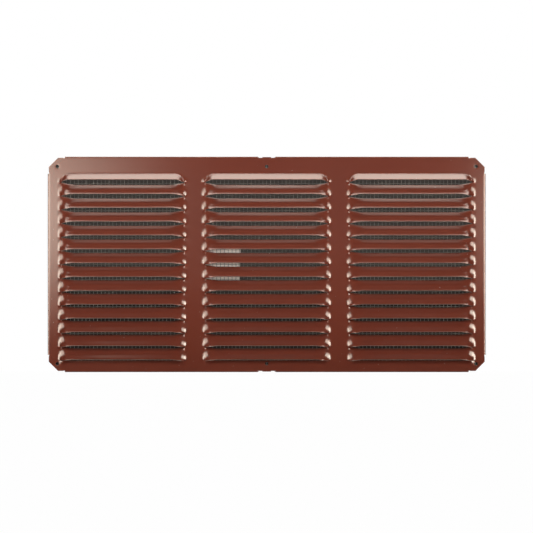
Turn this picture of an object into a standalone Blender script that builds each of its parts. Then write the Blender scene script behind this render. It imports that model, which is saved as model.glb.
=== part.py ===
"""Soffit vent: one painted aluminium sheet pressed into three columns of louvres, its edges hemmed
over a woven wire insect screen, and a plain paper label stuck to the back of the screen.

The vent stands upright as it would against a wall: +X is its right, +Z its top, and it faces -Y.
Shapes are worked out from the front face of the flat sheet at y = 0, with +Y towards the soffit,
and the three pieces are then moved so that the whole vent is centred on the origin.
"""

import math

import bmesh
import bpy
from mathutils import Matrix, Vector

MM = 0.001
INCH = 25.4 * MM

# Outline of the vent and the sheet it is made of
WIDTH = 16 * INCH
HEIGHT = 200 * MM
SHEET = 0.5 * MM
CLEARANCE = 0.25 * MM  # between two pieces that rest on each other

# Woven wire screen: 1/8 inch clear between wires
WIRE = 0.41 * MM
WIRE_PITCH = INCH / 8 + WIRE
WIRE_LAYERS_GAP = 0.08 * MM  # crosswise wires pass this far in front of the upright ones
SCREEN_THICKNESS = 2 * WIRE + WIRE_LAYERS_GAP

# Hems: the edge of the sheet is folded back over the screen
HEM_GAP = SCREEN_THICKNESS + 2 * CLEARANCE
FOLD_RADIUS = SHEET + HEM_GAP / 2  # of the outer face
FOLD_STEPS = 6
HEM_LEG = 7.5 * MM  # flat part of the folded leg
HEM_END = 16 * MM  # from the corner of the outline to the start of each hem
TAB_WIDTH = 8.25 * MM  # flat tab that holds the middle screw hole
NOTCH_WIDTH = 4.1 * MM  # between the tab and the hem on each side of it
CORNER_CUT = 8.6 * MM  # leg of the corner chamfers, on the unfolded edges

# Louvres
COLUMNS = 3
COLUMN_PITCH = 5.25 * INCH
SLIT_LENGTH = 4.5 * INCH
SLITS = 14
SLIT_PITCH = 0.5 * INCH
FIRST_SLIT_DOWN = 24.1 * MM  # from the top edge of the vent
LIP_REACH = 5.9 * MM  # how far the lips stand in front of the sheet
HOOD_LENGTH = 8.9 * MM  # of the flap over the first slit
UPPER_TILT = math.radians(58)  # of the louvre's section at its upper edge
LOWER_TILT = math.radians(40)  # and from the end of the curve down to its lip
CURVE_LENGTH = 5 * MM
TWIST_LENGTH = 11.3 * MM  # from the end of a slit to the fully turned louvre
PRESS_MARGIN = 2.4 * MM  # the press marks the sheet this far beyond the slits
END_LEAD = 0.4  # the middle of a strip is already turned by this share beside the end of its slit

# Screw holes
HOLE_RADIUS = 1.65 * MM
HOLE_SIDE = 9.1 * MM  # from the side edges
HOLE_TOP = 9.3 * MM  # from the top edge
HOLE_BOTTOM = 7.9 * MM  # from the bottom edge
HOLE_SIDES = 20

# Screen: how far it is inside the outline, and how far the louvres push it back
SCREEN_INSET = 2.2 * MM
SCREEN_RAMP_START = 9.5 * MM  # from the outline
SCREEN_RAMP_END = 20 * MM

# Paper label
LABEL_WIDTH = 45 * MM
LABEL_HEIGHT = 38 * MM
LABEL_THICKNESS = 0.2 * MM
LABEL_CENTRE = (-47.3 * MM, 0.0)
LABEL_TURN = math.radians(2.5)
LABEL_CORNER = 2 * MM

# Colours
PAINT_BROWN = (0.181, 0.041, 0.024, 1)
WIRE_GREY = (0.42, 0.42, 0.41, 1)
PAPER_WHITE = (0.82, 0.81, 0.78, 1)

CURVE_RADIUS = CURVE_LENGTH / (UPPER_TILT - LOWER_TILT)


def section(down):
    """(forward, lower) of the point this far down a louvre's section from its upper edge."""
    curved = min(down, CURVE_LENGTH)
    tilt = UPPER_TILT - curved / CURVE_RADIUS
    straight = down - curved
    forward = CURVE_RADIUS * (math.cos(tilt) - math.cos(UPPER_TILT)) + straight * math.sin(LOWER_TILT)
    lower = CURVE_RADIUS * (math.sin(UPPER_TILT) - math.sin(tilt)) + straight * math.cos(LOWER_TILT)
    return forward, lower


LOUVRE_DEPTH, LOUVRE_RISE = section(SLIT_PITCH)
BACK_REACH = LOUVRE_DEPTH - LIP_REACH  # how far the upper edges go behind the sheet's front face
EDGE_SHIFT = (SLIT_PITCH - LOUVRE_RISE) / 2  # the slit opens this much on each side
HOOD_TILT = math.asin(LIP_REACH / HOOD_LENGTH)

SLIT_HEIGHTS = [HEIGHT / 2 - FIRST_SLIT_DOWN - i * SLIT_PITCH for i in range(SLITS)]
HOOD_FOLD = SLIT_HEIGHTS[0] + HOOD_LENGTH
COLUMN_CENTRES = [(i - (COLUMNS - 1) / 2) * COLUMN_PITCH for i in range(COLUMNS)]

# Where the fold of each hem begins, and how far the unfolded sheet reaches past that line
FLAT_X = WIDTH / 2 - FOLD_RADIUS
FLAT_Z = HEIGHT / 2 - FOLD_RADIUS
FOLD_LENGTH = math.pi * FOLD_RADIUS
TAB_REACH = FOLD_LENGTH / FOLD_STEPS

SCREEN_PLANE = SHEET + HEM_GAP / 2  # middle of the screen inside the hems
# The louvres' back edges push the screen this much further back
SCREEN_DEPTH = BACK_REACH + SHEET + CLEARANCE + SCREEN_THICKNESS / 2 - SCREEN_PLANE
LABEL_FRONT = SCREEN_PLANE + SCREEN_DEPTH + SCREEN_THICKNESS / 2 + CLEARANCE
VENT_BACK = LABEL_FRONT + LABEL_THICKNESS
CENTRE_SHIFT = Vector((0, (LIP_REACH - VENT_BACK) / 2, 0))


def clear_scene():
    for obj in list(bpy.data.objects):
        bpy.data.objects.remove(obj, do_unlink=True)


def new_collection(name):
    collection = bpy.data.collections.new(name)
    bpy.context.scene.collection.children.link(collection)
    return collection


def new_material(name, colour, roughness, metallic):
    material = bpy.data.materials.new(name)
    material.use_nodes = True
    shader = material.node_tree.nodes["Principled BSDF"]
    shader.inputs["Base Color"].default_value = colour
    shader.inputs["Roughness"].default_value = roughness
    shader.inputs["Metallic"].default_value = metallic
    material.diffuse_color = colour
    return material


def new_object(name, data, collection, material=None):
    obj = bpy.data.objects.new(name, data)
    collection.objects.link(obj)
    if material:
        data.materials.append(material)
    return obj


def mesh_of(name, bm):
    mesh = bpy.data.meshes.new(name)
    bm.to_mesh(mesh)
    bm.free()
    return mesh


def both_sides(values):
    """The values and their mirror images, sorted, each once."""
    return sorted({round(side * value, 9) for value in values for side in (-1, 1)})


def fold_stations(flat):
    """Unfolded positions along a hem: the steps of the fold and the free edge of its leg."""
    steps = [flat + FOLD_LENGTH * i / FOLD_STEPS for i in range(FOLD_STEPS + 1)]
    return steps + [steps[-1] + HEM_LEG]


def across_stations():
    """Positions in X of the blank's grid lines: hems, hem ends, tab, and the ends of the louvres."""
    outer = fold_stations(FLAT_X) + [WIDTH / 2 - HEM_END, TAB_WIDTH / 2, TAB_WIDTH / 2 + NOTCH_WIDTH]
    stations = both_sides(outer)
    half = SLIT_LENGTH / 2
    from_middle = (half + PRESS_MARGIN, half, half - 0.45 * TWIST_LENGTH, half - TWIST_LENGTH)
    for centre in COLUMN_CENTRES:
        stations += [centre + offset for offset in both_sides(from_middle)]
    return sorted({round(station, 9) for station in stations})


def upright_stations():
    """Positions in Z of the grid lines: hems, hem ends, the hood's fold, the slits and between."""
    stations = both_sides(fold_stations(FLAT_Z) + [HEIGHT / 2 - HEM_END])
    stations += [HOOD_FOLD, (HOOD_FOLD + SLIT_HEIGHTS[0]) / 2]
    for height in SLIT_HEIGHTS:
        stations.append(height)
    for height in SLIT_HEIGHTS[:-1]:
        stations += [
            height - 0.45 * CURVE_LENGTH,
            height - CURVE_LENGTH,
            height - (CURVE_LENGTH + SLIT_PITCH) / 2,
        ]
    return sorted({round(station, 9) for station in stations})


def blank_grid(xs, zs):
    """A flat grid in the XZ plane that faces -Y, with its lines at the given stations."""
    bm = bmesh.new()
    bmesh.ops.create_grid(bm, x_segments=len(xs) - 1, y_segments=len(zs) - 1, size=0.5)
    for vert in bm.verts:
        across = round((vert.co.x + 0.5) * (len(xs) - 1))
        up = round((vert.co.y + 0.5) * (len(zs) - 1))
        vert.co = Vector((xs[across], 0, zs[up]))
    return bm


def is_waste(point):
    """Whether this point of the unfolded sheet is cut away: corners, hem ends and notches."""
    x, z = abs(point.x), abs(point.z)
    if x > FLAT_X:
        return z > HEIGHT / 2 - HEM_END
    if z > FLAT_Z:
        in_tab = x < TAB_WIDTH / 2 and z < FLAT_Z + TAB_REACH
        in_hem = TAB_WIDTH / 2 + NOTCH_WIDTH < x < WIDTH / 2 - HEM_END
        return not (in_tab or in_hem)
    return False


def cut_outline(bm):
    waste = [face for face in bm.faces if is_waste(face.calc_center_median())]
    bmesh.ops.delete(bm, geom=waste, context="FACES")
    for side_x in (-1, 1):
        for side_z in (-1, 1):
            corner = Vector((side_x * FLAT_X, 0, side_z * FLAT_Z))
            faces = [
                face
                for face in bm.faces
                if abs(face.calc_center_median().x) < FLAT_X and abs(face.calc_center_median().z) < FLAT_Z
                and any((vert.co - corner).length < HEM_END for vert in face.verts)
            ]
            edges = {edge for face in faces for edge in face.edges}
            verts = {vert for face in faces for vert in face.verts}
            bmesh.ops.bisect_plane(
                bm,
                geom=faces + list(edges) + list(verts),
                dist=1e-7,
                plane_co=corner - Vector((side_x * CORNER_CUT, 0, 0)),
                plane_no=Vector((side_x, 0, side_z)),
                clear_outer=True,
            )


def column_near(x):
    return min(COLUMN_CENTRES, key=lambda centre: abs(x - centre))


def cut_slits(bm):
    def on_slit(edge):
        a, b = (vert.co for vert in edge.verts)
        half = SLIT_LENGTH / 2 + 1e-6
        centre = column_near((a.x + b.x) / 2)
        level = any(abs(a.z - height) < 1e-6 and abs(b.z - height) < 1e-6 for height in SLIT_HEIGHTS)
        return level and abs(a.x - centre) < half and abs(b.x - centre) < half

    bmesh.ops.split_edges(bm, edges=[edge for edge in bm.edges if on_slit(edge)])


def turn_share(x, between):
    """How far a strip is turned at x, from 0 in the flat sheet to 1 along the middle of the louvre.

    Its two slit edges start at the end of the slit. The metal between them leads: it starts at the press
    mark, and most halfway from one slit to the next, where between is 0.5.
    """
    from_end = SLIT_LENGTH / 2 - abs(x - column_near(x))
    along = min(max(from_end / TWIST_LENGTH, 0), 1)
    edges = 0.75 * along + 0.25 * math.sin(along * math.pi / 2)
    lead = max(1 + from_end / PRESS_MARGIN, 0) if from_end < 0 else (1 - along) ** 2
    return edges + END_LEAD * lead * math.sin(math.pi * between)


def press_louvres(bm):
    """Turns each strip between two slits, its lip forward and its upper edge back."""
    moved = {}
    for vert in bm.verts:
        inside = sum((face.calc_center_median().z for face in vert.link_faces)) / len(vert.link_faces)
        x, z = vert.co.x, vert.co.z
        if SLIT_HEIGHTS[0] < inside < HOOD_FOLD:
            down = HOOD_FOLD - z
            forward = down * math.sin(HOOD_TILT)
            height = HOOD_FOLD - down * math.cos(HOOD_TILT)
            turn = turn_share(x, down / HOOD_LENGTH)
        elif SLIT_HEIGHTS[-1] < inside < SLIT_HEIGHTS[0]:
            top = min(height for height in SLIT_HEIGHTS if height > inside)
            down = top - z
            forward, lower = section(down)
            forward -= BACK_REACH
            height = top - EDGE_SHIFT - lower
            turn = turn_share(x, down / SLIT_PITCH)
        else:
            continue
        moved[vert] = Vector((x, -turn * forward, z + turn * (height - z)))
    for vert, place in moved.items():
        vert.co = place


def folded(along, flat):
    """(outward, back) of a point of the sheet at this unfolded distance, past the line flat."""
    turn = min((along - flat) / FOLD_RADIUS, math.pi)
    leg = along - flat - turn * FOLD_RADIUS
    return flat + FOLD_RADIUS * math.sin(turn) - leg, FOLD_RADIUS * (1 - math.cos(turn))


def fold_hems(bm):
    for vert in bm.verts:
        x, z = abs(vert.co.x), abs(vert.co.z)
        if x > FLAT_X + 1e-7:
            outward, back = folded(x, FLAT_X)
            vert.co = Vector((math.copysign(outward, vert.co.x), back, vert.co.z))
        elif z > FLAT_Z + 1e-7 and x > TAB_WIDTH / 2 + 1e-7:
            outward, back = folded(z, FLAT_Z)
            vert.co = Vector((vert.co.x, back, math.copysign(outward, vert.co.z)))


def hole_cutters(collection):
    """One mesh with a cylinder for each screw hole, through the sheet only."""
    bm = bmesh.new()
    along_y = Matrix.Rotation(math.pi / 2, 4, "X")
    for height in (HEIGHT / 2 - HOLE_TOP, HOLE_BOTTOM - HEIGHT / 2):
        for x in (HOLE_SIDE - WIDTH / 2, 0, WIDTH / 2 - HOLE_SIDE):
            bmesh.ops.create_cone(
                bm,
                cap_ends=True,
                segments=HOLE_SIDES,
                radius1=HOLE_RADIUS,
                radius2=HOLE_RADIUS,
                depth=4 * SHEET,
                matrix=Matrix.Translation((x, SHEET / 2, height)) @ along_y,
            )
    bmesh.ops.recalc_face_normals(bm, faces=bm.faces)
    cutter = new_object("screw_hole_cutters", mesh_of("screw_hole_cutters", bm), collection)
    cutter.hide_render = True
    cutter.display_type = "WIRE"
    return cutter


def louvred_panel(parts, cutters):
    bm = blank_grid(across_stations(), upright_stations())
    cut_outline(bm)
    cut_slits(bm)
    press_louvres(bm)
    fold_hems(bm)
    paint = new_material("brown_paint", PAINT_BROWN, 0.32, 0.0)
    panel = new_object("louvred_panel", mesh_of("louvred_panel", bm), parts, paint)
    thickness = panel.modifiers.new("sheet thickness", "SOLIDIFY")
    thickness.thickness = SHEET
    thickness.offset = -1
    thickness.use_even_offset = True
    holes = panel.modifiers.new("screw holes", "BOOLEAN")
    holes.operation = "DIFFERENCE"
    holes.solver = "EXACT"
    holes.object = hole_cutters(cutters)
    holes.object.location = CENTRE_SHIFT
    panel.location = CENTRE_SHIFT
    return panel


def ramp(position, half):
    """0 where the hem holds the screen, 1 over the louvres."""
    from_edge = half - abs(position)
    share = (from_edge - SCREEN_RAMP_START) / (SCREEN_RAMP_END - SCREEN_RAMP_START)
    return min(max(share, 0), 1)


def screen_depth(x, z):
    return SCREEN_PLANE + SCREEN_DEPTH * ramp(x, WIDTH / 2) * ramp(z, HEIGHT / 2)


def wire_ends(position, half, half_across):
    """Half the length of the wire at this position, shortened where the corner is cut off."""
    reach = half_across - SCREEN_INSET
    corner = half + half_across - SCREEN_INSET - FOLD_RADIUS - CORNER_CUT - abs(position)
    return min(reach, corner)


def wire_positions(half):
    count = math.floor((half - SCREEN_INSET) / WIRE_PITCH)
    return [i * WIRE_PITCH for i in range(-count, count + 1)]


def wire_points(position, half, half_across, layer, upright):
    """Points of one wire: its ends and where the screen bends."""
    end = wire_ends(position, half, half_across)
    bends = [half_across - SCREEN_RAMP_START, half_across - SCREEN_RAMP_END]
    places = both_sides([end] + [bend for bend in bends if bend < end])
    points = []
    for along in places:
        x, z = (position, along) if upright else (along, position)
        points.append(Vector((x, screen_depth(x, z) + layer, z)))
    return points


def wires_mesh(name, point_lists):
    """All these wires as one mesh of separate closed prisms, made from a bevelled curve."""
    curve = bpy.data.curves.new(name, "CURVE")
    curve.dimensions = "3D"
    curve.bevel_depth = WIRE / 2
    curve.bevel_resolution = 0
    curve.use_fill_caps = True
    for points in point_lists:
        spline = curve.splines.new("POLY")
        spline.points.add(len(points) - 1)
        for point, place in zip(spline.points, points):
            point.co = (*place, 1)
    guide = bpy.data.objects.new(name, curve)
    bpy.context.scene.collection.objects.link(guide)
    graph = bpy.context.evaluated_depsgraph_get()
    mesh = bpy.data.meshes.new_from_object(guide.evaluated_get(graph))
    bpy.data.objects.remove(guide, do_unlink=True)
    bm = bmesh.new()
    bm.from_mesh(mesh)
    bmesh.ops.remove_doubles(bm, verts=bm.verts, dist=1e-6)
    bmesh.ops.recalc_face_normals(bm, faces=bm.faces)
    bm.to_mesh(mesh)
    bm.free()
    return mesh


def insect_screen(parts, cutters):
    """Crosswise wires in front, upright wires behind, tied to each other by the two middle wires."""
    layer = (WIRE + WIRE_LAYERS_GAP) / 2
    level = [z for z in wire_positions(HEIGHT / 2) if z]
    upright = [x for x in wire_positions(WIDTH / 2) if x]
    wires = [wire_points(z, HEIGHT / 2, WIDTH / 2, -layer, False) for z in level]
    wires += [wire_points(x, WIDTH / 2, HEIGHT / 2, layer, True) for x in upright]
    grey = new_material("screen_wire", WIRE_GREY, 0.4, 0.9)
    screen = new_object("insect_screen", wires_mesh("insect_screen", wires), parts, grey)
    middles = {
        "upright_middle_wire": wire_points(0, WIDTH / 2, HEIGHT / 2, 0, True),
        "level_middle_wire": wire_points(0, HEIGHT / 2, WIDTH / 2, 0, False),
    }
    for name, points in middles.items():
        wire = new_object(name, wires_mesh(name, [points]), cutters)
        wire.hide_render = True
        wire.display_type = "WIRE"
        wire.location = CENTRE_SHIFT
        tie = screen.modifiers.new(name, "BOOLEAN")
        tie.operation = "UNION"
        tie.solver = "EXACT"
        tie.object = wire
    screen.location = CENTRE_SHIFT
    return screen


def paper_label(parts):
    bm = bmesh.new()
    turned = Matrix.Rotation(LABEL_TURN, 4, "Y") @ Matrix.Rotation(math.pi / 2, 4, "X")
    bmesh.ops.create_grid(bm, x_segments=1, y_segments=1, size=0.5)
    for vert in bm.verts:
        vert.co = Vector((vert.co.x * LABEL_WIDTH, vert.co.y * LABEL_HEIGHT, 0))
    bmesh.ops.bevel(
        bm, geom=bm.verts, offset=LABEL_CORNER, segments=3, affect="VERTICES", profile=0.5
    )
    bmesh.ops.transform(bm, matrix=turned, verts=bm.verts)
    paper = new_material("label_paper", PAPER_WHITE, 0.7, 0.0)
    label = new_object("paper_label", mesh_of("paper_label", bm), parts, paper)
    thickness = label.modifiers.new("paper thickness", "SOLIDIFY")
    thickness.thickness = LABEL_THICKNESS
    thickness.offset = -1
    label.location = CENTRE_SHIFT + Vector((LABEL_CENTRE[0], LABEL_FRONT, LABEL_CENTRE[1]))
    return label


def main():
    clear_scene()
    parts = new_collection("soffit_vent")
    cutters = new_collection("cutters")
    louvred_panel(parts, cutters)
    insect_screen(parts, cutters)
    paper_label(parts)


main()
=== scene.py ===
import math

import bpy
import numpy as np
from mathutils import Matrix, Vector


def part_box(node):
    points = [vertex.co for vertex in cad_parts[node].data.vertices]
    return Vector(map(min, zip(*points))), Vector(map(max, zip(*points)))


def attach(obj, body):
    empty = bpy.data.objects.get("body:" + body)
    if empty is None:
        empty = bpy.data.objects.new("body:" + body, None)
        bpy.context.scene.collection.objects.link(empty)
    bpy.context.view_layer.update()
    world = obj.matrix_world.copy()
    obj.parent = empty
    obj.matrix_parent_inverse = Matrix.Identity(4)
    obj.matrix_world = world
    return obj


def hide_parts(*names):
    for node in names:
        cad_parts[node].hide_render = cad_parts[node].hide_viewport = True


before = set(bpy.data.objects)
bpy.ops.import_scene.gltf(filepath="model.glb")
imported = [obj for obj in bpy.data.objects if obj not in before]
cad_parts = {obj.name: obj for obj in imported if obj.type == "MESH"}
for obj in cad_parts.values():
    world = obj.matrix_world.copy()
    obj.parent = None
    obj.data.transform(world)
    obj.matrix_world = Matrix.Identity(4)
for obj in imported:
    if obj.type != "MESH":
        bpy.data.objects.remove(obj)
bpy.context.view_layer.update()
print("frame loaded")


# Shader building: values as Python expressions, every other node through Look.node

class Value:
    # A number socket that can be used in sums
    def __init__(self, look, socket):
        self.look = look
        self.socket = socket

    def math(self, operation, first, second=None):
        values = {0: first} if second is None else {0: first, 1: second}
        return self.look.node("ShaderNodeMath", {"operation": operation}, values).value()

    def __add__(self, other):
        return self.math("ADD", self, other)

    def __radd__(self, other):
        return self.math("ADD", other, self)

    def __sub__(self, other):
        return self.math("SUBTRACT", self, other)

    def __rsub__(self, other):
        return self.math("SUBTRACT", other, self)

    def __mul__(self, other):
        return self.math("MULTIPLY", self, other)

    def __rmul__(self, other):
        return self.math("MULTIPLY", other, self)

    def __pow__(self, other):
        return self.math("POWER", self, other)


class Made:
    # A node that was made, and its outputs
    def __init__(self, look, node):
        self.look = look
        self.node = node

    def out(self, name=0):
        return self.node.outputs[name]

    def value(self, name=0):
        return Value(self.look, self.node.outputs[name])


class Look:
    # The node tree of a material or a world
    def __init__(self, owner):
        owner.use_nodes = True
        self.owner = owner
        self.tree = owner.node_tree
        self.tree.nodes.clear()

    def node(self, kind, settings=None, sockets=None):
        made = self.tree.nodes.new(kind)
        for name, setting in (settings or {}).items():
            setattr(made, name, setting)
        for name, given in (sockets or {}).items():
            if isinstance(given, Value):
                given = given.socket
            if isinstance(given, bpy.types.NodeSocket):
                self.tree.links.new(given, made.inputs[name])
            else:
                made.inputs[name].default_value = given
        return Made(self, made)

    def ramp(self, factor, low, high, soft=True):
        # 0 where factor is at low, 1 at high
        kind = "SMOOTHSTEP" if soft else "LINEAR"
        sockets = {"Value": factor, "From Min": low, "From Max": high}
        return self.node("ShaderNodeMapRange", {"interpolation_type": kind}, sockets).value()

    def place(self):
        # Object coordinates, in metres
        return self.node("ShaderNodeTexCoord").out("Object")

    def parts(self):
        return self.node("ShaderNodeSeparateXYZ", {}, {0: self.place()})

    def noise(self, coordinates, scale, detail, roughness):
        sockets = {"Vector": coordinates, "Scale": scale, "Detail": detail, "Roughness": roughness}
        return self.node("ShaderNodeTexNoise", {"noise_dimensions": "3D"}, sockets).value("Fac")

    def mixColour(self, factor, first, second):
        settings = {"data_type": "RGBA", "blend_type": "MIX"}
        return self.node("ShaderNodeMix", settings, {0: factor, 6: first, 7: second}).out(2)

    def bump(self, strength, distance, height):
        sockets = {"Strength": strength, "Distance": distance, "Height": height}
        return self.node("ShaderNodeBump", {}, sockets).out()

    def glow(self, colour, strength=1.0):
        return self.node("ShaderNodeEmission", {}, {"Color": colour, "Strength": strength}).out()

    def mixShader(self, factor, first, second):
        return self.node("ShaderNodeMixShader", {}, {0: factor, 1: first, 2: second}).out()

    def surface(self, sockets):
        return self.node("ShaderNodeBsdfPrincipled", {}, sockets).out()

    def close(self, shader):
        # Gives the material back with this shader on its surface
        self.node("ShaderNodeOutputMaterial", {}, {"Surface": shader})
        return self.owner


def newLook(name):
    return Look(bpy.data.materials.new(name))


# Mesh building

def addPiece(name, points, faces, materials, replaced):
    # Points are in millimetres in the frame of the vent
    mesh = bpy.data.meshes.new(name)
    mesh.from_pydata((np.asarray(points) * 0.001).tolist(), [], faces)
    mesh.polygons.foreach_set("use_smooth", np.ones(len(mesh.polygons), bool))
    piece = bpy.data.objects.new(name, mesh)
    bpy.context.scene.collection.objects.link(piece)
    for material in materials:
        mesh.materials.append(material)
    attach(piece, "root")
    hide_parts(replaced)
    return piece


def keepAttribute(piece, name, values):
    attribute = piece.data.attributes.new(name, "FLOAT", "POINT")
    attribute.data.foreach_set("value", np.asarray(values, np.float32))


def sharpRim(piece, atRim):
    # The face is shaded apart from the cut edge along the open edges between these points
    mesh = piece.data
    ends = np.zeros(2 * len(mesh.edges), int)
    mesh.edges.foreach_get("vertices", ends)
    used = np.zeros(len(mesh.loops), int)
    mesh.loops.foreach_get("edge_index", used)
    single = np.bincount(used, minlength=len(mesh.edges)) == 1
    sharp = mesh.attributes.new("sharp_edge", "BOOLEAN", "EDGE")
    sharp.data.foreach_set("value", single & atRim[ends.reshape(-1, 2)].all(axis=1))


def cellCorners(number):
    # The four corners of each cell of a grid of point numbers, rows upwards and columns to the right
    return np.stack([number[:-1, :-1], number[:-1, 1:], number[1:, 1:], number[1:, :-1]], axis=-1)


def gridFaces(rows, columns):
    return cellCorners(np.arange(rows * columns).reshape(rows, columns)).reshape(-1, 4)


def usedOnly(count, *groups):
    # The numbers of the points that these faces use, and all the faces with the points renumbered
    used = np.unique(np.concatenate([group.ravel() for group in groups]))
    renumber = np.zeros(count, int)
    renumber[used] = np.arange(len(used))
    return used, [face for group in groups for face in renumber[group].tolist()]


def onRim(count, kept, cut):
    # The points of both faces that are kept and faces that are cut away
    inKept = np.zeros(count, bool)
    inKept[kept] = True
    inCut = np.zeros(count, bool)
    inCut[cut] = True
    return inKept & inCut


def spread(ends, steps):
    # Positions from each end to the next in equal steps
    parts = [np.linspace(a, b, n, endpoint=False) for a, b, n in zip(ends[:-1], ends[1:], steps)]
    return np.concatenate([*parts, [ends[-1]]])


def merged(*groups):
    # All these positions in order, where those that nearly coincide are one
    nearest = 0.02
    together = np.sort(np.concatenate(groups))
    return together[np.concatenate([[True], np.diff(together) > nearest])]


def smooth(share):
    held = np.clip(share, 0, 1)
    return held * held * (3 - 2 * held)


# Painted sheet: sizes in millimetres, angles in degrees

sheet = {
    "width": 406.4,
    "height": 200.0,
    "thickness": 0.5,
    "hemRadius": 1.2,
    "hemLeg": 7.5,
    "hemFromCorner": 16.0,
    "hemCorner": 0.8,  # the round of the corners of a hem's leg
    "tabWidth": 8.25,
    "tabReach": 0.63,
    "tabBeside": 1.0,  # further out than this from the tab the edge is folded
    "notchWidth": 4.1,
    "faceCorner": 0.3,
    "cornerCut": 8.6,
    "reliefAt": (0.35, 0.6),  # where the hem ends: out from the fold and beyond the hem's end
    "reliefRadius": 0.8,
    "holeRadius": 1.65,
    "holeAcross": (-194.1, 0.0, 194.1),
    "holeHeights": (90.7, -92.1),
    "holeSquare": 2.4,  # half the square of the grid that a hole is set in
    "holeMargin": 0.35,  # between the edge of a hole and the ring of points round it
    "holeRollover": (0.05, 0.5),  # how far the punch drew the sheet in, and how far round each hole
    "wearReach": 0.7,
    "foldWear": (1.0, 0.6),  # how far past the fold line it is worn, and how narrow that is
    "waviness": 0.10,  # the flat parts of a pressed sheet are never quite flat
}

# Distances along a louvre are from the end of its slit inwards
louvre = {
    "columns": (-133.35, 0.0, 133.35),
    "slitLength": 114.3,
    "slits": 14,
    "pitch": 12.7,
    "firstSlit": 75.9,
    "lipReach": 5.9,
    "backReach": 2.8075,
    "rise": 9.165,  # from the lip of a strip to its upper edge
    "tiltPlaces": (0.0, 6.3, 7.6, 8.9, 11.0, 11.4, 12.7),  # down the strip
    "tilts": (63.0, 60.5, 56.0, 22.5, 21.0, 38.0, 46.0),  # from upright
    "hoodLength": 8.9,
    "hoodRise": 6.664,
    "hoodPlaces": (0.0, 0.9, 8.9),
    "hoodTilts": (0.0, 43.0, 44.0),
    "twist": (2.0, 11.3),  # between these distances the strip is turned
    "hoodTwist": (0.0, 6.8),
    "opensEvenly": 0.75,  # the edges of a slit move apart by this share evenly
    "hoodEnd": 0.40,  # its height at the end of the slit, of its full height
    "hoodRound": (2.0, 10.8),  # between these distances the fold over the hood curves down
    "ease": 16.0,  # how slowly the sheet turns at the ends: less is steeper
    "held": (-3.1, 0.4),  # outside the first of these distances the sheet is held flat
    "wall": (-3.25, 6.3),  # between these distances the sheet comes forward as a whole
    "wallFades": 6.0,  # above the first slit and below the last one
    "curved": (1.0, 20.0),  # between these distances the section of a strip begins to bend
    "hoodCurved": (1.5, 10.8),
}

# Lines of the grid of the blank: places and the numbers of steps between them
gridLines = {
    "slitEnd": ((-13.0, -8.0, -4.0, -1.2, 0.0, 1.6, 5.2), (2, 3, 3, 4, 4, 3)),  # out from a slit's end
    "column": (-20.0, 20.0),  # from the middle of a column
    "strip": ((0.0, 1.5, 7.6, 8.9, 11.0, 12.7), (1, 3, 2, 2, 5)),  # down from its upper edge
    "hood": ((0.0, 2.2, 7.8, 8.9), (4, 4, 2)),
    "notch": ((1.9, 4.125, 8.225, 11.0), (2, 4, 2)),
    "foldSteps": (8, 1),
    "holeSteps": (6,),
    "cornerPlaces": 6,
    "sideRelief": (187.2, 188.0),
    "topRelief": (84.0, 84.8, 85.6),
}

flatX = sheet["width"] / 2 - sheet["hemRadius"]
flatZ = sheet["height"] / 2 - sheet["hemRadius"]
foldLength = math.pi * sheet["hemRadius"]
hemReach = foldLength + sheet["hemLeg"]
cutSteps = np.linspace(0, sheet["cornerCut"], gridLines["cornerPlaces"])
slitHeights = louvre["firstSlit"] - louvre["pitch"] * np.arange(louvre["slits"])
columnCentres = np.array(louvre["columns"])
halfSlit = louvre["slitLength"] / 2
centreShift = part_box("louvred_panel")[0].y * 1000 + louvre["lipReach"]  # of the sheet's front face


def between(position, ends):
    # 0 up to the first of the ends, 1 from the second on
    return smooth((position - ends[0]) / (ends[1] - ends[0]))


def profile(places, tilts, reach, rise):
    # A section as a table: distance down it, forward and lower, summed from the tilt along it and
    # stretched to its reach and rise
    down = np.linspace(0, places[-1], 400)
    tilt = np.radians(np.interp(down, places, tilts))
    forward = np.concatenate([[0], np.cumsum(np.sin((tilt[1:] + tilt[:-1]) / 2))])
    lower = np.concatenate([[0], np.cumsum(np.cos((tilt[1:] + tilt[:-1]) / 2))])
    return down, forward * reach / forward[-1], lower * rise / lower[-1]


def boxDistance(x, z, halfX, halfZ, corner):
    # Distance from a rectangle round the origin with rounded corners, below 0 inside it
    beyondX = np.abs(x) - halfX + corner
    beyondZ = np.abs(z) - halfZ + corner
    outside = np.hypot(np.maximum(beyondX, 0), np.maximum(beyondZ, 0))
    return outside + np.minimum(np.maximum(beyondX, beyondZ), 0) - corner


def blankDistance(x, z):
    # Distance from the outline of the flat blank, below 0 on the metal: the face with its corners cut
    # off, joined with the tabs and the hems, less the round reliefs at the ends of the hems
    x = np.abs(x)
    z = np.abs(z)
    reachZ = sheet["height"] / 2 - sheet["hemFromCorner"]
    reachX = sheet["width"] / 2 - sheet["hemFromCorner"]
    tab = sheet["tabWidth"] / 2
    notch = tab + sheet["notchWidth"]
    corner = (x + z - flatX - flatZ + sheet["cornerCut"]) / math.sqrt(2)
    face = np.maximum(boxDistance(x, z, flatX, flatZ, sheet["faceCorner"]), corner)
    sideHem = boxDistance(x, z, flatX + hemReach, reachZ, sheet["hemCorner"])
    middleOfHem = (notch + reachX) / 2
    topHem = boxDistance(x - middleOfHem, z, (reachX - notch) / 2, flatZ + hemReach, sheet["hemCorner"])
    flap = boxDistance(x, z, tab, flatZ + sheet["tabReach"], sheet["faceCorner"])
    metal = np.minimum(np.minimum(face, sideHem), np.minimum(topHem, flap))
    out, beyond = sheet["reliefAt"]
    relief = np.minimum(
        np.hypot(x - flatX - out, z - reachZ - beyond) - sheet["reliefRadius"],
        np.hypot(x - reachX - beyond, z - flatZ - out) - sheet["reliefRadius"],
    )
    return np.maximum(metal, -relief)


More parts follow.
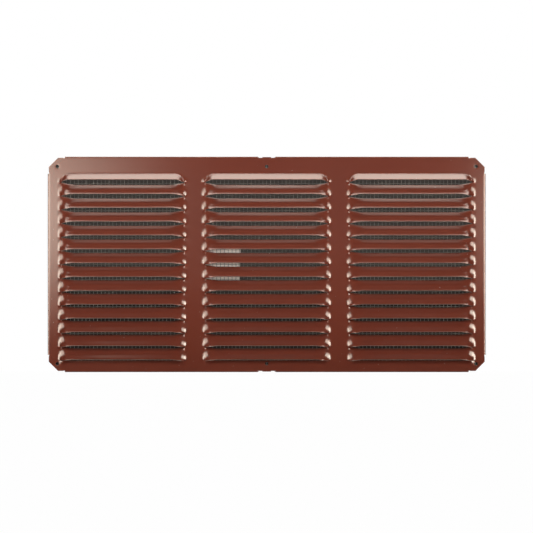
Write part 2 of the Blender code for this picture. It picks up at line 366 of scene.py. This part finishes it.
def snapped(points, distance, rim):
    # Moves the points of the rim along the slope of a distance until they lie on its edge
    step = 0.02
    rounds = 4
    share = 0.9
    for _ in range(rounds):
        x, z = points[rim].T
        away = distance(x, z)
        slope = np.stack([
            (distance(x + step, z) - distance(x - step, z)) / (2 * step),
            (distance(x, z + step) - distance(x, z - step)) / (2 * step),
        ], axis=-1)
        points[rim] -= slope * (share * away)[:, None]
    return points


def edgeStations(flat):
    # Lines over the fold and the leg of a hem whose flat part ends here, and lines round a hole
    fold = flat + spread((0.0, foldLength, hemReach), gridLines["foldSteps"])
    hole = spread((-sheet["holeSquare"], sheet["holeSquare"]), gridLines["holeSteps"])
    return fold, hole


def sheetStations():
    # Lines of the blank in x, closer together over hems, holes and the ends of the louvres
    ends = spread(*gridLines["slitEnd"])
    across = []
    for centre in columnCentres:
        across.append(centre + halfSlit + ends)
        across.append(centre - halfSlit - ends)
        across.append(centre + np.array(gridLines["column"]))
    fold, hole = edgeStations(flatX)
    sideHole = sheet["holeAcross"][2] + hole
    side = np.concatenate([fold, sideHole, flatX - cutSteps, gridLines["sideRelief"]])
    notch = spread(*gridLines["notch"])
    across += [side, -side, hole, notch, -notch]
    return merged(*across)


def bandStations():
    # Lines of the blank in z for each band between two slits, from the top down
    fold, hole = edgeStations(flatZ)
    strip = spread(*gridLines["strip"])
    corner = np.concatenate([flatZ - cutSteps, gridLines["topRelief"]])
    hood = slitHeights[0] + louvre["hoodLength"] - spread(*gridLines["hood"])
    top = merged(fold, sheet["holeHeights"][0] + hole, hood, corner)
    bands = [top[top >= slitHeights[0] - 1e-6]]
    bands += [np.sort(height - strip) for height in slitHeights[:-1]]
    below = np.concatenate([[slitHeights[-1]], -fold, sheet["holeHeights"][1] + hole, -corner])
    bands.append(merged(below[below <= slitHeights[-1]]))
    return bands


def distanceInside(x):
    # From the end of the slits inwards, below 0 outside them
    return halfSlit - np.abs(x - columnCentres[np.abs(x[..., None] - columnCentres).argmin(-1)])


def opening(fromEnd, full):
    # How far the edges of a slit have moved apart, of all the way: a straight line and a quarter of a
    # sine wave that both reach 1 at this distance from its end
    along = np.clip(fromEnd / full, 0, 1)
    evenly = louvre["opensEvenly"]
    return evenly * along + (1 - evenly) * np.sin(along * math.pi / 2)


def stretched(fromEnd, down, ease):
    # The shape of a skin with a row of slits whose strips are turned: -0.5 at the upper edge of a strip
    # and 0.5 at its lip far inside, and nothing far outside. It is the angle, over pi, of one plus the
    # root of one minus E, where E is as large as exp(2 pi fromEnd / ease) and turned by 2 pi down.
    tiny = 1e-6
    farthest = (-30, 40)  # further away it no longer changes
    down = np.clip(down, tiny, 1 - tiny)
    grown = np.exp(2 * math.pi * (np.clip(fromEnd, *farthest) / ease + 1j * down))
    flat, free = louvre["held"]
    held = np.sin(math.pi / 2 * np.clip((fromEnd - flat) / (free - flat), 0, 1))
    return held * np.angle(1 + np.sqrt(1 - grown)) / math.pi


def pressedHood(fromEnd, z, outerWall):
    # The band above the first slit: only its lower part moves, and the fold over it comes down to the
    # slit at its ends
    start, full = louvre["hoodRound"]
    along = np.clip((fromEnd - start) / (full - start), 0, 1)
    length = louvre["hoodLength"]
    share = louvre["hoodEnd"] + (1 - louvre["hoodEnd"]) * np.sqrt(1 - (1 - along) ** 2)
    down = np.clip(1 - (z - slitHeights[0]) / (length * share), 0, 1)
    turned = 2 * stretched(fromEnd, 0.5 + down / 2, 2 * louvre["ease"])
    turned = turned + between(fromEnd, louvre["hoodTwist"]) * (down - turned)
    reach = louvre["lipReach"]
    return {
        "down": down,
        "straight": reach * turned + outerWall * smooth(down),
        "table": profile(louvre["hoodPlaces"], louvre["hoodTilts"], reach, louvre["hoodRise"]),
        "length": length,
        "top": slitHeights[0] + length,
        "rise": louvre["hoodRise"],
        "shift": 0.0,
        "away": 0.0,
        "opens": louvre["hoodTwist"][1],
        "bend": louvre["hoodCurved"],
    }


def pressedStrip(fromEnd, z, wall, band):
    # A band between two slits: its upper edge goes back and its lip forward
    length = louvre["pitch"]
    top = slitHeights[band - 1]
    reach = louvre["lipReach"] + louvre["backReach"]
    down = np.clip((top - z) / length, 0, 1)
    turned = stretched(fromEnd, down, louvre["ease"])
    turned = turned + between(fromEnd, louvre["twist"]) * (down - 0.5 - turned)
    return {
        "down": down,
        "straight": reach * turned + wall,
        "table": profile(louvre["tiltPlaces"], louvre["tilts"], reach, louvre["rise"]),
        "length": length,
        "top": top,
        "rise": louvre["rise"],
        "shift": (length - louvre["rise"]) / 2,
        "away": louvre["backReach"],
        "opens": louvre["twist"][1],
        "bend": louvre["curved"],
    }


def pressed(x, z, band):
    # Where the press moves the points of a band: down its section, as far as the strip is turned there.
    # The section is straight at the ends of a louvre and curved in the middle.
    fromEnd = distanceInside(x)
    wall = between(fromEnd, louvre["wall"]) * (louvre["lipReach"] - louvre["backReach"]) / 2
    # the wall runs out above the first slit and below the last one, where only its outer side is kept
    outerWall = wall * smooth(1 - fromEnd / louvre["wallFades"])
    if band == louvre["slits"]:
        return -outerWall * smooth(1 - (slitHeights[-1] - z) / louvre["wallFades"]), z
    if band == 0:
        part = pressedHood(fromEnd, z, outerWall)
    else:
        part = pressedStrip(fromEnd, z, wall, band)
    places, forwards, lowers = part["table"]
    length = part["length"]
    curved = between(fromEnd, part["bend"])
    along = part["down"] * length
    forward = part["straight"]
    forward = forward + curved * (np.interp(along, places, forwards) - part["away"] - forward)
    fromTop = part["top"] - z
    along = np.clip(fromTop, 0, length)
    lower = part["rise"] * along / length
    height = part["top"] - part["shift"] - lower - curved * (np.interp(along, places, lowers) - lower)
    moved = z + opening(fromEnd, part["opens"]) * (height - z)
    return np.where(fromTop >= 0, -forward, 0), np.where(fromTop >= 0, moved, z)


def wavy(x, z):
    # The slight waves of thin sheet: a sum of sines, each 2 pi times the lengths below from crest to
    # crest, where the last one is the shortest and the weakest
    waves = np.sin(x / 31 + 1.1) * np.sin(z / 40 + 0.4)
    waves += 0.6 * np.sin(x / 17 - z / 29 + 2.0)
    waves += 0.4 * np.sin(x / 53 + z / 23 + 0.7)
    waves += 0.2 * np.sin(x / 8.5 + z / 19 + 0.3) * np.sin(z / 13 - 1.0)
    return sheet["waviness"] * waves / 2


def folded(along, flat):
    # Outward and back of a point past the fold line: round the fold, then inwards along the leg
    turn = np.clip((along - flat) / sheet["hemRadius"], 0, math.pi)
    leg = along - flat - turn * sheet["hemRadius"]
    outward = flat + sheet["hemRadius"] * np.sin(turn) - leg
    return np.where(along > flat, outward, along), sheet["hemRadius"] * (1 - np.cos(turn))


def holeRing(number, across, heights, middle):
    # The grid points round a hole in order, from the lower left corner of its square to the right
    half = sheet["holeSquare"]
    before = 0.01  # a line counts from this far before it
    left, right = np.searchsorted(across, (middle[0] - half - before, middle[0] + half - before))
    low, high = np.searchsorted(heights, (middle[1] - half - before, middle[1] + half - before))
    ring = np.concatenate([
        number[low, left:right], number[low:high, right],
        number[high, right:left:-1], number[high:low:-1, left],
    ])
    return ring, (low, high, left, right)


def blankGrid():
    # The flat blank as a grid, band by band, with its holes: points, the band of each, and faces
    across = sheetStations()
    points = []
    faces = []
    bandOf = []
    rings = []
    start = 0
    opened = distanceInside(across) > 0.01
    for band, heights in enumerate(bandStations()):
        x, z = np.meshgrid(across, heights)
        points.append(np.stack([x, z], axis=-1).reshape(-1, 2))
        bandOf.append(np.full(x.size, band))
        number = start + np.arange(x.size).reshape(x.shape)
        if band:
            # outside the slits the upper line of a band is the lower line of the band above it
            number[-1] = np.where(opened, number[-1], above)
        above = number[0]
        start += x.size
        solid = np.ones((len(heights) - 1, len(across) - 1), bool)
        for height in sheet["holeHeights"]:
            if heights[0] < height < heights[-1]:
                for place in sheet["holeAcross"]:
                    ring, (low, high, left, right) = holeRing(number, across, heights, (place, height))
                    solid[low:high, left:right] = False
                    rings.append((ring, place, height, band))
        faces.append(cellCorners(number)[solid])
    flat = np.concatenate(points)
    for ring, place, height, band in rings:
        # from the square of grid points to the edge of the hole
        middle = np.array([place, height])
        outward = flat[ring] - middle
        outward /= np.linalg.norm(outward, axis=1)[:, None]
        last = ring
        for radius in (sheet["holeRadius"] + sheet["holeMargin"], sheet["holeRadius"]):
            points.append(middle + outward * radius)
            bandOf.append(np.full(len(ring), band))
            inner = start + np.arange(len(ring))
            start += len(ring)
            faces.append(np.stack([last, np.roll(last, -1), np.roll(inner, -1), inner], axis=-1))
            last = inner
    return np.concatenate(points), np.concatenate(bandOf), np.concatenate(faces)


def trimmed(blank, faces):
    # Cuts the grid to the outline: whole faces go, faces on the cut corners are halved, and the
    # points along the cut are moved onto it
    farOut = 0.5
    onLine = 0.01
    inside = -0.001
    away = blankDistance(*blank.T)[faces]
    oneOut = np.sum(away > farOut, axis=1) == 1
    twoOn = np.sum(np.abs(away) < onLine, axis=1) == 2
    halved = oneOut & twoOn
    kept = (blankDistance(*blank[faces].mean(axis=1).T) < inside) & ~halved
    blank = snapped(blank, blankDistance, onRim(len(blank), faces[kept], faces[~kept & ~halved]))
    corners = faces[halved]
    lost = away[halved].argmax(axis=1)
    each = np.arange(len(corners))
    triangles = np.stack([corners[each, (lost + k) % 4] for k in (1, 2, 3)], axis=-1)
    return blank, faces[kept], triangles


def panelMesh():
    # The blank with its strips pressed and its hems folded: points, faces, wear, and whether a point
    # lies on the outline or on the edge of a hole
    blank, bandOf, faces = blankGrid()
    blank, faces, triangles = trimmed(blank, faces)
    flat = blank.copy()
    x, z = blank.T
    y = np.zeros_like(x)
    for band in range(louvre["slits"] + 1):
        here = bandOf == band
        forward, height = pressed(x[here], z[here], band)
        y[here] = forward
        z[here] = np.where(np.abs(z[here]) < flatZ, height, z[here])
    outX, backX = folded(np.abs(x), flatX)
    outZ, backZ = folded(np.abs(z), flatZ)
    holes = [(place, height) for place in sheet["holeAcross"] for height in sheet["holeHeights"]]
    fromHole = np.min([np.hypot(x - place, z - height) for place, height in holes], axis=0)
    depth, reach = sheet["holeRollover"]
    drawn = depth * np.exp(-((fromHole - sheet["holeRadius"]) / reach) ** 2)
    flatness = np.clip(1 - 0.5 * np.abs(y), 0, 1)  # the pressed parts are stiff and have no waves
    tab = np.abs(x) <= sheet["tabWidth"] / 2 + sheet["tabBeside"]
    y = y + backX + np.where(tab, 0, backZ) + drawn
    y = y + wavy(np.sign(x) * outX, np.sign(z) * outZ) * flatness
    outZ = np.where(tab, np.abs(z), outZ)
    points = np.stack([np.sign(x) * outX, y + centreShift, np.sign(z) * outZ], axis=-1)
    near = 0.05
    atRim = (np.abs(blankDistance(*flat.T)) < near) | (fromHole < sheet["holeRadius"] + near)
    used, faces = usedOnly(len(points), faces, triangles)
    return points[used], faces, edgeWear(*flat[used].T), atRim[used]


def edgeWear(x, z):
    # 1 at the sheared edges and along the folds of the blank, falling off over a short distance
    inside = distanceInside(x)
    toSlit = np.abs(z[..., None] - slitHeights).min(-1)
    away = np.hypot(np.maximum(-inside, 0), toSlit)
    away = np.minimum(away, np.abs(blankDistance(x, z)))
    past, narrow = sheet["foldWear"]
    fold = np.minimum(np.abs(np.abs(x) - flatX - past), np.abs(np.abs(z) - flatZ - past))
    return np.exp(-np.minimum(away, narrow * fold) / sheet["wearReach"])


# Louvred panel

# A noise is given as its cells in a metre, its detail and its roughness
paint = {
    "tones": ((0.160, 0.0350, 0.0195, 1), (0.184, 0.0410, 0.0235, 1)),
    "cloud": (14, 4, 0.55),
    "grain": (900, 2, 0.5),
    "patches": (170, 3, 0.6),
    "dots": (625, 1, 0.4),
    "peel": (1000 / 0.9, 2, 0.5),
    "peelDepth": 0.0000025,
    "worn": (0.27, 0.115, 0.080, 1),  # thin paint along the edges
    "wornShares": (0.62, 0.6),  # of the wear and of the patches
    "wornFrom": (0.62, 1.0),
    "speck": (0.42, 0.33, 0.28, 1),  # dust and small chips
    "specksFrom": (0.80, 0.84),
    "speckShare": 0.6,
    "roughness": 0.145,
    "roughnessShares": {"cloud": 0.06, "grain": 0.05, "worn": 0.08, "specks": 0.25},
    "refraction": 1.5,
}

cutEdge = {
    "tones": ((0.12, 0.050, 0.036, 1), (0.26, 0.21, 0.185, 1)),
    "streaks": (700, 3, 0.6),
    "metallic": 0.3,
    "roughness": 0.5,
    "roughnessStreaks": 0.2,
}


def paintLook():
    look = newLook("brownPaint")
    place = look.place()
    cloud = look.noise(place, *paint["cloud"])
    grain = look.noise(place, *paint["grain"])
    colour = look.mixColour(cloud, *paint["tones"])
    wear = look.node("ShaderNodeAttribute", {"attribute_name": "wear"}).value("Fac")
    patches = look.noise(place, *paint["patches"])
    ofWear, ofPatches = paint["wornShares"]
    worn = look.ramp(wear * ofWear + patches * ofPatches, *paint["wornFrom"])
    colour = look.mixColour(worn, colour, paint["worn"])
    specks = look.ramp(look.noise(place, *paint["dots"]), *paint["specksFrom"])
    colour = look.mixColour(specks * paint["speckShare"], colour, paint["speck"])
    shares = paint["roughnessShares"]
    roughness = paint["roughness"] + (cloud - 0.5) * shares["cloud"] + (grain - 0.5) * shares["grain"]
    roughness = roughness + worn * shares["worn"] + specks * shares["specks"]
    return look.close(look.surface({
        "Base Color": colour,
        "Roughness": roughness,
        "IOR": paint["refraction"],
        "Normal": look.bump(1.0, paint["peelDepth"], look.noise(place, *paint["peel"])),
    }))


def cutEdgeLook():
    look = newLook("shearedEdge")
    streaks = look.noise(look.place(), *cutEdge["streaks"])
    return look.close(look.surface({
        "Base Color": look.mixColour(streaks, *cutEdge["tones"]),
        "Metallic": cutEdge["metallic"],
        "Roughness": cutEdge["roughness"] + streaks * cutEdge["roughnessStreaks"],
    }))


panelPoints, panelFaces, panelWear, panelRim = panelMesh()
panel = addPiece("paintedPanel", panelPoints, panelFaces, [paintLook(), cutEdgeLook()],
                 "louvred_panel")
keepAttribute(panel, "wear", panelWear)
sharpRim(panel, panelRim)
thickness = panel.modifiers.new("sheet thickness", "SOLIDIFY")
thickness.thickness = sheet["thickness"] * 0.001
thickness.offset = -1
thickness.use_even_offset = True
thickness.material_offset_rim = 1
print("panel", len(panelFaces), "cells")


# Woven wire screen

screen = {
    "wire": 0.41,
    "pitch": 25.4 / 8 + 0.41,
    "inset": 2.2,
    "plane": 1.2,  # behind the front face of the sheet, inside the hems
    "pushedBack": 2.8075,  # and this much further over the louvres
    "slope": (9.5, 20.0),  # between these distances from the outline
    "sides": 6,
    "crimp": 0.205,
    # the wires' own dull grey, darkened further as painted shade of the louvres over them
    "tones": ((0.060, 0.056, 0.052, 1), (0.140, 0.132, 0.125, 1)),
    "grime": (320, 3, 0.6),
    "metallic": 0.8,
    "roughness": 0.34,
    "roughnessGrime": 0.2,
}


def wireLook():
    look = newLook("screenWire")
    grime = look.noise(look.place(), *screen["grime"])
    return look.close(look.surface({
        # the tones hold painted shade of the louvres as well as the wire's own colour
        "Base Color": look.mixColour(grime, *screen["tones"]),
        "Metallic": screen["metallic"],
        "Roughness": screen["roughness"] + grime * screen["roughnessGrime"],
    }))


def screenDepth(x, z):
    # The screen lies behind the sheet at the hems and further back over the louvres, with an easy slope
    ramps = between(sheet["width"] / 2 - np.abs(x), screen["slope"])
    ramps = ramps * between(sheet["height"] / 2 - np.abs(z), screen["slope"])
    return screen["plane"] + screen["pushedBack"] * ramps


def wovenWires(half, halfAcross, upright):
    # Each wire is a tube along a line that passes in front of and behind the wires it crosses:
    # its depth is the screen's plus or minus the crimp times a cosine with a wave of two pitches
    pitch = screen["pitch"]
    radius = screen["wire"] / 2
    count = math.floor((half - screen["inset"]) / pitch)
    place = np.arange(-count, count + 1)
    steps = math.ceil((halfAcross - screen["inset"]) / (pitch / 2))
    along = np.arange(-steps, steps + 1) * pitch / 2
    cut = half + halfAcross - screen["inset"] - sheet["hemRadius"] - sheet["cornerCut"]
    reach = np.minimum(halfAcross - screen["inset"], cut - np.abs(place * pitch))
    run = np.clip(along[None, :], -reach[:, None], reach[:, None])
    beside = np.broadcast_to((place * pitch)[:, None], run.shape)
    sign = np.where(place % 2 == 0, 1.0, -1.0)[:, None] * (1 if upright else -1)
    depth = screenDepth(beside, run) if upright else screenDepth(run, beside)
    depth = depth + screen["crimp"] * sign * np.cos(math.pi * run / pitch)
    turn = np.arange(screen["sides"]) / screen["sides"] * 2 * math.pi + math.pi / screen["sides"]
    shape = run.shape + (screen["sides"],)
    side = beside[..., None] + radius * np.cos(turn)
    back = depth[..., None] + radius * np.sin(turn) + centreShift
    line = np.broadcast_to(run[..., None], shape)
    points = np.stack([side, back, line] if upright else [line, back, side], axis=-1).reshape(-1, 3)
    number = np.arange(len(points)).reshape(shape)
    following = np.roll(number, -1, axis=-1)
    quads = np.stack([number[:, :-1], number[:, 1:], following[:, 1:], following[:, :-1]], axis=-1)
    kept = np.abs(np.diff(run, axis=1)) > 1e-6
    quads = quads[kept].reshape(-1, 4)
    rows = np.arange(len(place))
    first = kept.argmax(axis=1)
    last = kept.shape[1] - kept[:, ::-1].argmax(axis=1)
    caps = np.concatenate([number[rows, first], number[rows, last][:, ::-1]])
    if upright:
        quads = quads[:, ::-1]
        caps = caps[:, ::-1]
    used, faces = usedOnly(len(points), quads, caps)
    return points[used], faces


wireMaterial = wireLook()
levelPoints, levelFaces = wovenWires(sheet["height"] / 2, sheet["width"] / 2, False)
addPiece("levelWires", levelPoints, levelFaces, [wireMaterial], "insect_screen")
uprightPoints, uprightFaces = wovenWires(sheet["width"] / 2, sheet["height"] / 2, True)
addPiece("uprightWires", uprightPoints, uprightFaces, [wireMaterial], "insect_screen")
print("screen", len(levelFaces), len(uprightFaces))


# Paper label

label = {
    "width": 45.0,
    "height": 38.0,
    "middle": (-47.3, 0.0),
    "turned": 2.5,
    "corner": 2.0,
    "thickness": 0.12,
    "front": 4.62,  # behind the front face of the sheet
    "dimple": 0.12,
    "places": (76, 64),
    "tones": ((0.90, 0.795, 0.715, 1), (0.96, 0.86, 0.785, 1)),
    "fibre": (1600, 4, 0.7),
    "stains": (90, 3, 0.5),
    "bumpStrength": 0.6,
    "bumpDepth": 0.00003,
    "roughness": 0.65,
    "roughnessFibre": 0.1,
}


def paperLook():
    look = newLook("labelPaper")
    place = look.place()
    fibre = look.noise(place, *label["fibre"])
    stains = look.noise(place, *label["stains"])
    return look.close(look.surface({
        "Base Color": look.mixColour(fibre * 0.5 + stains * 0.5, *label["tones"]),
        "Roughness": label["roughness"] + fibre * label["roughnessFibre"],
        "Normal": look.bump(label["bumpStrength"], label["bumpDepth"], fibre),
    }))


def labelOutline(x, z):
    return boxDistance(x, z, label["width"] / 2, label["height"] / 2, label["corner"])


def labelMesh():
    # A flat grid with rounded corners that sinks into the screen's openings, as the square of a sine
    # of the wires' pitch each way
    across = np.linspace(-label["width"] / 2, label["width"] / 2, label["places"][0])
    up = np.linspace(-label["height"] / 2, label["height"] / 2, label["places"][1])
    x, z = np.meshgrid(across, up)
    flat = np.stack([x, z], axis=-1).reshape(-1, 2)
    faces = gridFaces(*x.shape)
    kept = labelOutline(*flat[faces].mean(axis=1).T) < 0
    flat = snapped(flat, labelOutline, onRim(len(flat), faces[kept], faces[~kept]))
    angle = math.radians(label["turned"])
    x = flat[:, 0] * math.cos(angle) + flat[:, 1] * math.sin(angle) + label["middle"][0]
    z = flat[:, 1] * math.cos(angle) - flat[:, 0] * math.sin(angle) + label["middle"][1]
    sunk = np.sin(math.pi * x / screen["pitch"]) ** 2 * np.sin(math.pi * z / screen["pitch"]) ** 2
    y = label["front"] - label["dimple"] * sunk + centreShift
    points = np.stack([x, y, z], axis=-1)
    used, faces = usedOnly(len(points), faces[kept])
    return points[used], faces


labelPoints, labelFaces = labelMesh()
paper = addPiece("paperLabel", labelPoints, labelFaces, [paperLook()], "paper_label")
paperThickness = paper.modifiers.new("paper thickness", "SOLIDIFY")
paperThickness.thickness = label["thickness"] * 0.001
paperThickness.offset = -1
print("label", len(labelFaces))


# Stage, in metres: floor, a dark film of painted shade and a card behind the openings, lamps, world and
# camera

stage = {
    "floorHeight": -0.62,
    "floorHalf": 4,
    "floorGrey": (0.6, 0.6, 0.6, 1),
    "floorWhite": 0.99,  # how much of it the camera sees as plain white
    "white": (1, 1, 1, 1),
    "worldLevel": 0.03,
}

# The dark seen through the openings is painted shade: a dark glowing sheet behind the screen, which
# only the camera sees and only from the front
film = {
    "behind": 0.95,  # millimetres behind the middle of the screen, as the other sizes
    "half": (198.6, 95.6),
    "places": (60, 40),
    "corner": (190.0, 87.0),
    "cut": 289.5,  # across and up together, at the cut corners
    "colour": (0.040, 0.035, 0.032, 1),
    "low": (0.014, 0.011, 0.010, 1),  # lower down less light gets in
    "fades": (-0.045, 0.0),
}

card = {
    "depth": 0.030,
    "half": 0.24,
    "foot": -0.2,
    "top": 0.145,
    "fades": (0.03, 0.14),  # between these heights it gets clearer
    "power": 1.8,
    "colour": (0.02, 0.018, 0.017, 1),
}

softbox = {
    "radius": 1.5,
    "halfTurn": 105,  # degrees of the wall on each side
    "places": 85,
    "heights": (-2.0, 2.4),
    "colour": (1.0, 0.965, 0.82, 1),
    "leftLevel": 16.0,
    "leftEdge": (-6.0, -30.0),  # degrees round the vent from straight in front
    "leftPower": 1.82,
    "leftFoot": (-0.21, 0.16),
    "rightLevel": 23.0,
    "rightEdge": (19.0, 37.0),
    "rightPower": 1.8,
    "rightFoot": (-0.22, 0.14),
    "shoulder": (0.33, 0.17),  # above this height the boxes are a little dimmer
    "shoulderDrop": 0.44,
    "outerEdge": (66.0, 48.0),
    "lower": (28.0, 50.0),  # further out than this the boxes reach further down
    "lowerBy": 0.8,
    "top": (1.08, 0.58),
    "ambient": 0.015,
}

skylight = {
    "height": 0.9,
    "half": (3.2, 1.4),
    "colour": (1.0, 0.905, 0.80, 1),
    "left": (-1.30, -0.95),
    "right": (1.30, 0.95),
    "overLevel": 8.6,
    "overFront": (-0.30, -0.06),
    "overBack": (0.17, 0.09),
    "backLevel": 4.8,
    "backRise": (0.08, 0.55),
    "backBack": (1.30, 0.95),
    "ambient": 0.015,
}

lamps = {
    "overhead": {"place": (0, 0.085, 0.9), "aim": (0, 0.085, 0), "size": (1.3, 0.33), "level": 0.8},
    "left": {"place": (-0.50, -0.50, -0.05), "aim": (0, 0, 0.02), "size": (0.4, 0.4), "level": 0.5},
    "right": {"place": (0.50, -0.50, -0.05), "aim": (0, 0, 0.02), "size": (0.4, 0.4), "level": 0.5},
    "front": {"place": (0, -0.24, 0.085), "aim": (0, 0, 0.085), "size": (1.0, 0.1), "level": 3.9},
    "straight": {"place": (0, -0.9, 0.003), "aim": (0, 0, 0.003), "size": (0.5, 0.06), "level": 16.0},
    "back": {"place": (0, 0.8, 0.7), "aim": (0, 0, 0), "size": (1.4, 0.7), "level": 2.2},
}

shot = {
    "distance": 0.747,
    "frameWidth": 0.494,  # of the plane of the sheet, across the picture
    "across": -0.0002,
    "height": -0.0020,
    "sensor": 36,
}


def addStage(name, points, faces, material):
    mesh = bpy.data.meshes.new(name)
    mesh.from_pydata(points, [], faces)
    mesh.materials.append(material)
    thing = bpy.data.objects.new(name, mesh)
    bpy.context.scene.collection.objects.link(thing)
    return thing


def hide(thing, *rays):
    for ray in rays:
        setattr(thing, "visible_" + ray, False)


def levelPlane(halfX, halfY, height):
    sides = ((-1, -1), (1, -1), (1, 1), (-1, 1))
    return [(halfX * x, halfY * y, height) for x, y in sides]


def floorLook():
    look = newLook("paleFloor")
    camera = look.node("ShaderNodeLightPath").value("Is Camera Ray")
    grey = look.node("ShaderNodeBsdfDiffuse", {}, {"Color": stage["floorGrey"]}).out()
    return look.close(look.mixShader(camera * stage["floorWhite"], grey, look.glow(stage["white"])))


def paintedShadeLook():
    # Painted shade: a dark glow from the front, clear from behind
    look = newLook("paintedShadeFilm")
    back = look.node("ShaderNodeNewGeometry").value("Backfacing")
    share = look.ramp(look.parts().value("Z"), *film["fades"])
    dark = look.glow(look.mixColour(share, film["low"], film["colour"]))
    clear = look.node("ShaderNodeBsdfTransparent").out()
    return look.close(look.mixShader(back, dark, clear))


def filmMesh():
    # A sheet just behind the screen that follows its depth, with cut corners
    halfX, halfZ = film["half"]
    cornerX, cornerZ = film["corner"]
    across = merged(np.linspace(-halfX, halfX, film["places"][0]), np.array([-cornerX, cornerX]))
    up = merged(np.linspace(-halfZ, halfZ, film["places"][1]), np.array([-cornerZ, cornerZ]))
    x, z = np.meshgrid(across, up)
    y = screenDepth(x, z) + film["behind"] + centreShift
    beyond = np.maximum(np.abs(x) + np.abs(z) - film["cut"], 0) / 2
    points = np.stack([x - np.sign(x) * beyond, y, z - np.sign(z) * beyond], axis=-1)
    return (points.reshape(-1, 3) * 0.001).tolist(), gridFaces(*x.shape).tolist()


def cardLook():
    look = newLook("darkCard")
    clearness = look.ramp(look.parts().value("Z"), *card["fades"], soft=False) ** card["power"]
    clear = look.node("ShaderNodeBsdfTransparent").out()
    return look.close(look.mixShader(clearness, look.glow(card["colour"]), clear))


def softboxLook():
    # Two softboxes with soft edges, as the brightness over one round wall: each is dim at its inner and
    # lower edge and full further out
    look = newLook("softboxes")
    parts = look.parts()
    x = parts.value("X")
    z = parts.value("Z")
    angle = x.math("ARCTAN2", x, 0 - parts.value("Y")) * (180 / math.pi)
    side = angle.math("ABSOLUTE", angle)
    top = look.ramp(z, *softbox["top"])
    top = top * (1 - softbox["shoulderDrop"] * (1 - look.ramp(z, *softbox["shoulder"])))
    raised = z + look.ramp(side, *softbox["lower"]) * softbox["lowerBy"]
    left = look.ramp(angle, *softbox["leftEdge"], soft=False) ** softbox["leftPower"]
    left = left * look.ramp(raised, *softbox["leftFoot"]) * softbox["leftLevel"]
    right = look.ramp(angle, *softbox["rightEdge"], soft=False) ** softbox["rightPower"]
    right = right * look.ramp(raised, *softbox["rightFoot"]) * softbox["rightLevel"]
    outer = look.ramp(side, *softbox["outerEdge"])
    strength = (left + right) * top * outer + softbox["ambient"]
    return look.close(look.glow(softbox["colour"], strength))


def roundWall():
    # Part of a cylinder round the vent, open behind it: x is the sine and -y the cosine of the angle
    turns = np.linspace(-softbox["halfTurn"], softbox["halfTurn"], softbox["places"])
    angle, height = np.meshgrid(np.radians(turns), np.array(softbox["heights"]))
    radius = softbox["radius"]
    points = np.stack([radius * np.sin(angle), -radius * np.cos(angle), height], axis=-1)
    return points.reshape(-1, 3).tolist(), gridFaces(*angle.shape).tolist()


def skylightLook():
    # A bright band right above the vent and a dimmer one behind it, with soft edges
    look = newLook("skylight")
    parts = look.parts()
    x = parts.value("X")
    y = parts.value("Y")
    sides = look.ramp(x, *skylight["left"]) * look.ramp(x, *skylight["right"])
    front = look.ramp(y, *skylight["overFront"])
    over = look.ramp(y, *skylight["overBack"])
    back = (1 - over) * look.ramp(y, *skylight["backBack"])
    back = back * look.ramp(y, *skylight["backRise"], soft=False)
    strength = (over * skylight["overLevel"] + back * skylight["backLevel"]) * front * sides
    return look.close(look.glow(skylight["colour"], strength + skylight["ambient"]))


def addLamp(name, lamp):
    # An area lamp of this radiance, for everything but gloss
    light = bpy.data.lights.new(name, "AREA")
    light.shape = "RECTANGLE"
    light.size, light.size_y = lamp["size"]
    light.energy = lamp["level"] * math.pi * light.size * light.size_y
    source = bpy.data.objects.new(name, light)
    bpy.context.scene.collection.objects.link(source)
    source.location = lamp["place"]
    aim = Vector(lamp["aim"]) - source.location
    source.rotation_euler = aim.to_track_quat("-Z", "Y").to_euler()
    hide(source, "camera", "glossy")


oneFace = [(0, 1, 2, 3)]
floorCorners = levelPlane(stage["floorHalf"], stage["floorHalf"], stage["floorHeight"])
addStage("floor", floorCorners, oneFace, floorLook())

# The painted shade behind the openings, seen only by the camera
filmSheet = addStage("film", *filmMesh(), paintedShadeLook())
hide(filmSheet, "diffuse", "glossy", "transmission", "shadow")

cardCorners = [
    (-card["half"], card["depth"], card["foot"]), (card["half"], card["depth"], card["foot"]),
    (card["half"], card["depth"], card["top"]), (-card["half"], card["depth"], card["top"]),
]
skylightCorners = levelPlane(*skylight["half"], skylight["height"])
glossStage = (
    addStage("card", cardCorners, oneFace, cardLook()),
    addStage("softboxes", *roundWall(), softboxLook()),
    addStage("skylight", skylightCorners, oneFace, skylightLook()),
)
for thing in glossStage:
    hide(thing, "camera", "diffuse", "shadow", "volume_scatter")

for name, lamp in lamps.items():
    addLamp(name + "Light", lamp)

# The camera and gloss see a white world, and everything else a dim one
world = bpy.data.worlds.new("studio")
bpy.context.scene.world = world
worldLook = Look(world)
rays = worldLook.node("ShaderNodeLightPath")
seen = rays.value("Is Camera Ray") + rays.value("Is Glossy Ray") + rays.value("Is Transmission Ray")
level = worldLook.ramp(seen, 0, 1, soft=False) * (1 - stage["worldLevel"]) + stage["worldLevel"]
background = worldLook.node("ShaderNodeBackground", {}, {"Color": stage["white"], "Strength": level})
worldLook.node("ShaderNodeOutputWorld", {}, {"Surface": background.out()})

cameraData = bpy.data.cameras.new("camera")
cameraData.sensor_width = shot["sensor"]
cameraData.lens = shot["sensor"] * shot["distance"] / shot["frameWidth"]
cameraObject = bpy.data.objects.new("camera", cameraData)
bpy.context.scene.collection.objects.link(cameraObject)
cameraObject.location = (shot["across"], centreShift * 0.001 - shot["distance"], shot["height"])
cameraObject.rotation_euler = (math.pi / 2, 0, 0)
bpy.context.scene.camera = cameraObject
bpy.context.scene.view_settings.view_transform = "Standard"
print("stage ready")
